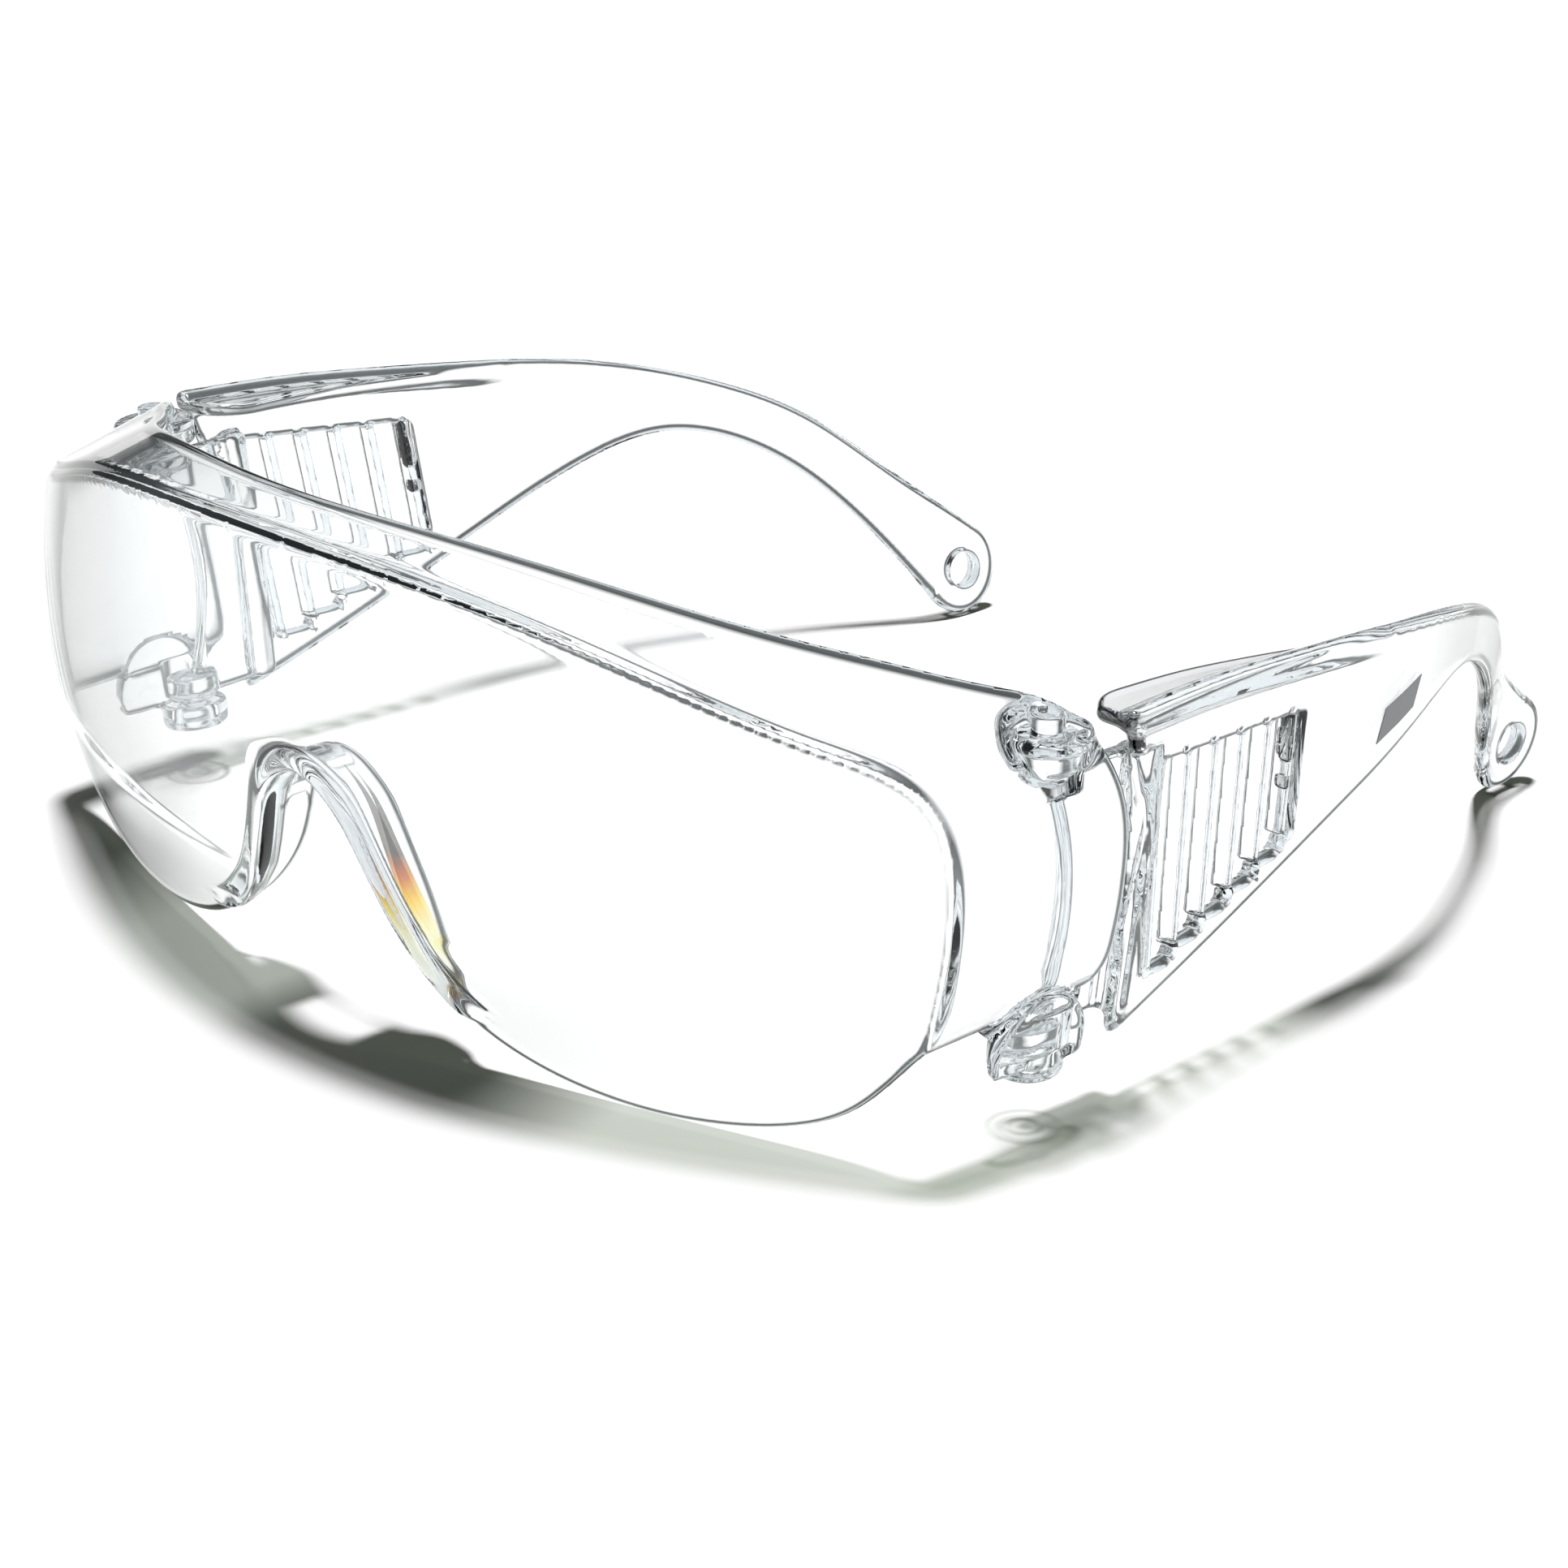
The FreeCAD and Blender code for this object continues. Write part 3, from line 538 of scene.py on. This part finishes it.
def settle(points, shape, rounds):
    """Moves points onto the surface where the shape's distance is zero."""
    for _ in range(rounds):
        slope = gradient(shape, points)
        steepness = np.maximum((slope * slope).sum(1), 0.05)
        step = -(shape(points) / steepness)[:, None] * slope
        length = np.linalg.norm(step, axis=1, keepdims=True)
        points = points + step * np.minimum(1.0, STEP_LIMIT / np.maximum(length, 1e-9))
    return points


def voxel_copy(source, name):
    """New object with an even mesh of another object's shape."""
    obj = bpy.data.objects.new(name, source.data.copy())
    scene.collection.objects.link(obj)
    remesh = obj.modifiers.new("remesh", "REMESH")
    remesh.mode = "VOXEL"
    remesh.voxel_size = VOXEL
    graph = bpy.context.evaluated_depsgraph_get()
    mesh = bpy.data.meshes.new_from_object(obj.evaluated_get(graph))
    obj.modifiers.clear()
    obj.data = mesh
    mesh.name = name
    return obj


def rows(items, key, kind, width):
    """One attribute of all vertices or edges, one row for each."""
    values = np.empty(len(items) * width, kind)
    items.foreach_get(key, values)
    return values.reshape(-1, width)


def moulded(node, name, body, shape):
    """The clear moulding that stands for a CAD node: its surface is settled onto the smooth shape."""
    obj = voxel_copy(frame["nodes"][node], name)
    mesh = obj.data
    shift = np.array((0.0, HEAD_SHIFT, 0.0))
    points = rows(mesh.vertices, "co", float, 3) * 1000 + shift
    edges = rows(mesh.edges, "vertices", int, 2)
    points = settle(points, shape, SETTLE_ROUNDS)
    for _ in range(RELAX_ROUNDS):
        points = settle(relax(points, edges, RELAX_SHARE), shape, SETTLE_AGAIN)
    normals = gradient(shape, points)
    normals /= np.linalg.norm(normals, axis=1, keepdims=True)
    mesh.vertices.foreach_set("co", ((points - shift) / 1000).ravel())
    mesh.polygons.foreach_set("use_smooth", [True] * len(mesh.polygons))
    mesh.update()
    mesh.normals_split_custom_set_from_vertices(normals.tolist())
    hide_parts(node)
    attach(obj, body)
    return obj


# Shadow colours, and where each one falls along the part.
DEEP, MEDIUM, PALE = (0.02, 0.03, 0.015), (0.34, 0.37, 0.33), (0.62, 0.65, 0.60)
TINT = (0.985, 0.992, 0.995)
# Painted dispersion colours and a painted dark band along the nose flange's inner rim; the stops run up the
# flange.
NOSE_PAINTED_SPECTRUM = ((0.0020, -0.0682, -0.0659, 0.006), (0.0185, 0.0, -0.0630, 0.030), (
    (0.0, (0.25, 0.45, 0.95)), (0.06, (0.9, 0.45, 0.05)), (0.14, (0.95, 0.97, 0.9)),
    (0.30, (0.95, 0.93, 0.55)), (0.42, (0.95, 0.62, 0.05)), (0.52, (0.55, 0.12, 0.01)),
    (0.62, (0.06, 0.05, 0.04)), (0.88, (0.10, 0.10, 0.09)), (1.0, (0.6, 0.62, 0.62))))
CLEAR = {
    "clear_shield": clear_plastic("clear_shield", TINT, "X", -0.08, 0.16, (
        (0.0, DEEP), (0.16, DEEP), (0.28, MEDIUM), (0.42, MEDIUM), (0.47, DEEP), (0.64, DEEP),
        (0.74, PALE), (1.0, PALE)), NOSE_PAINTED_SPECTRUM),
    "clear_temple": clear_plastic("clear_temple", TINT, "Y", -0.04, 0.12, (
        (0.0, MEDIUM), (0.12, MEDIUM), (0.16, PALE), (0.34, PALE), (0.42, DEEP), (1.0, DEEP))),
}
INK = plain("print_ink", (0.30, 0.31, 0.32), 0.6)

for node, body, shape, slot in (("lens_shield", "shield", shield_shape, "clear_shield"),
                                ("temple_left", "temple_left", temple_shape, "clear_temple"),
                                ("temple_right", "temple_right", right_temple_shape, "clear_temple")):
    obj = moulded(node, node + "_moulded", body, shape)
    obj.data.materials.clear()
    obj.data.materials.append(CLEAR[slot])
dress("print_mark", INK)


# ---------------------------------------------------------------- studio

# Brightness of the studio against the cosine of the angle to the camera's own direction.
FIELD = ((0.0, (0.74, 0.79, 0.82)), (0.30, (0.90, 0.94, 0.96)), (0.52, (0.86, 0.90, 0.92)),
         (0.68, (0.64, 0.67, 0.68)), (0.79, (0.10, 0.11, 0.11)), (0.91, (0.07, 0.075, 0.075)),
         (0.962, (1, 1, 1)))
# What smooth faces mirror: pale floor, darker room above it.
FLOOR_MIRRORED = ((0.0, (0.80, 0.83, 0.85)), (0.5, (0.88, 0.90, 0.90)), (0.72, (0.80, 0.83, 0.82)),
                  (0.90, (0.84, 0.86, 0.84)), (0.97, (1, 1, 1)))
ROOM_MIRRORED = ((0.0, (0.30, 0.34, 0.38)), (0.45, (0.45, 0.50, 0.54)), (0.72, (0.10, 0.11, 0.12)),
                 (0.90, (0.12, 0.13, 0.13)), (0.97, (0.6, 0.6, 0.6)))


def bright_field(n, mirrored_stops):
    """Light that a ray finds: white along the camera's own direction, darker the more the plastic bends it.

    Gives a colour socket. The camera and plain floor light see white."""
    geometry = n.add("ShaderNodeNewGeometry")
    turned = n.add("ShaderNodeVectorTransform", {0: geometry.outputs["Incoming"]},
                   vector_type="VECTOR", convert_from="WORLD", convert_to="CAMERA")
    parts = n.add("ShaderNodeSeparateXYZ", {0: turned.outputs[0]})
    along = n.add("ShaderNodeMath", {0: parts.outputs["Z"], 1: -1.0}, operation="MULTIPLY")
    path = n.add("ShaderNodeLightPath")
    seen = blend(n, path.outputs["Is Glossy Ray"], (1, 1, 1), ramp_of(n, along.outputs[0], mirrored_stops))
    return blend(n, path.outputs["Is Transmission Ray"], seen, ramp_of(n, along.outputs[0], FIELD))


FLOOR_REACH, FLOOR_DROP = 3.0, 0.0002      # metres


def floor():
    """Pale table top just under the glasses, white to the camera; seen through the plastic or mirrored in
    it, its colour is painted shade and painted reflection.
    """
    mesh = bpy.data.meshes.new("floor")
    r = FLOOR_REACH
    mesh.from_pydata([(-r, -r, 0), (r, -r, 0), (r, r, 0), (-r, r, 0)], [], [(0, 1, 2, 3)])
    obj = bpy.data.objects.new("floor", mesh)
    scene.collection.objects.link(obj)
    obj.location.z = -FLOOR_DROP
    material = bpy.data.materials.new("floor_paper")
    material.use_nodes = True
    n = Nodes(material.node_tree)
    # Painted shade and painted reflection: the paper is darker the more the plastic bends the ray that finds
    # it.
    paper_painted_field = n.add("ShaderNodeBsdfDiffuse", {"Color": bright_field(n, FLOOR_MIRRORED)})
    n.add("ShaderNodeOutputMaterial", {"Surface": paper_painted_field.outputs[0]})
    obj.data.materials.append(material)


def world():
    """Studio around the table: bright to the eye, dim as a light on the floor."""
    w = bpy.data.worlds.new("studio")
    scene.world = w
    w.use_nodes = True
    n = Nodes(w.node_tree)
    path = n.add("ShaderNodeLightPath")
    bright = n.add("ShaderNodeBackground", {"Color": bright_field(n, ROOM_MIRRORED), "Strength": 1.0})
    dim = n.add("ShaderNodeBackground", {"Color": (1, 1, 1, 1), "Strength": 0.05})
    mix = n.add("ShaderNodeMixShader", {
        0: path.outputs["Is Diffuse Ray"], 1: bright.outputs[0], 2: dim.outputs[0]})
    n.add("ShaderNodeOutputWorld", {"Surface": mix.outputs[0]})


def sun(name, towards, angle, strength):
    """Far overhead softbox."""
    data = bpy.data.lights.new(name, "SUN")
    data.angle = math.radians(angle)
    data.energy = strength
    obj = bpy.data.objects.new(name, data)
    scene.collection.objects.link(obj)
    obj.rotation_euler = Vector(towards).to_track_quat("-Z", "Y").to_euler()
    return obj


CAMERA_PLACE = (0.3358, -0.32545, 0.1896)
CAMERA_DOWN, CAMERA_TURN = 21.3, 46.2       # degrees below level, and round from the front
CAMERA_LENS, CAMERA_SENSOR = 98.8, 36.0


def camera():
    """Camera at the wearer's left front, looking down at the glasses."""
    data = bpy.data.cameras.new("camera")
    data.sensor_width = CAMERA_SENSOR
    data.lens = CAMERA_LENS
    data.clip_start = 0.01
    obj = bpy.data.objects.new("camera", data)
    scene.collection.objects.link(obj)
    obj.location = CAMERA_PLACE
    obj.rotation_euler = (math.radians(90 - CAMERA_DOWN), 0, math.radians(CAMERA_TURN))
    scene.camera = obj


floor()
world()
sun("overhead", (0.06, -0.06, -1), 7.0, 3.4)
camera()
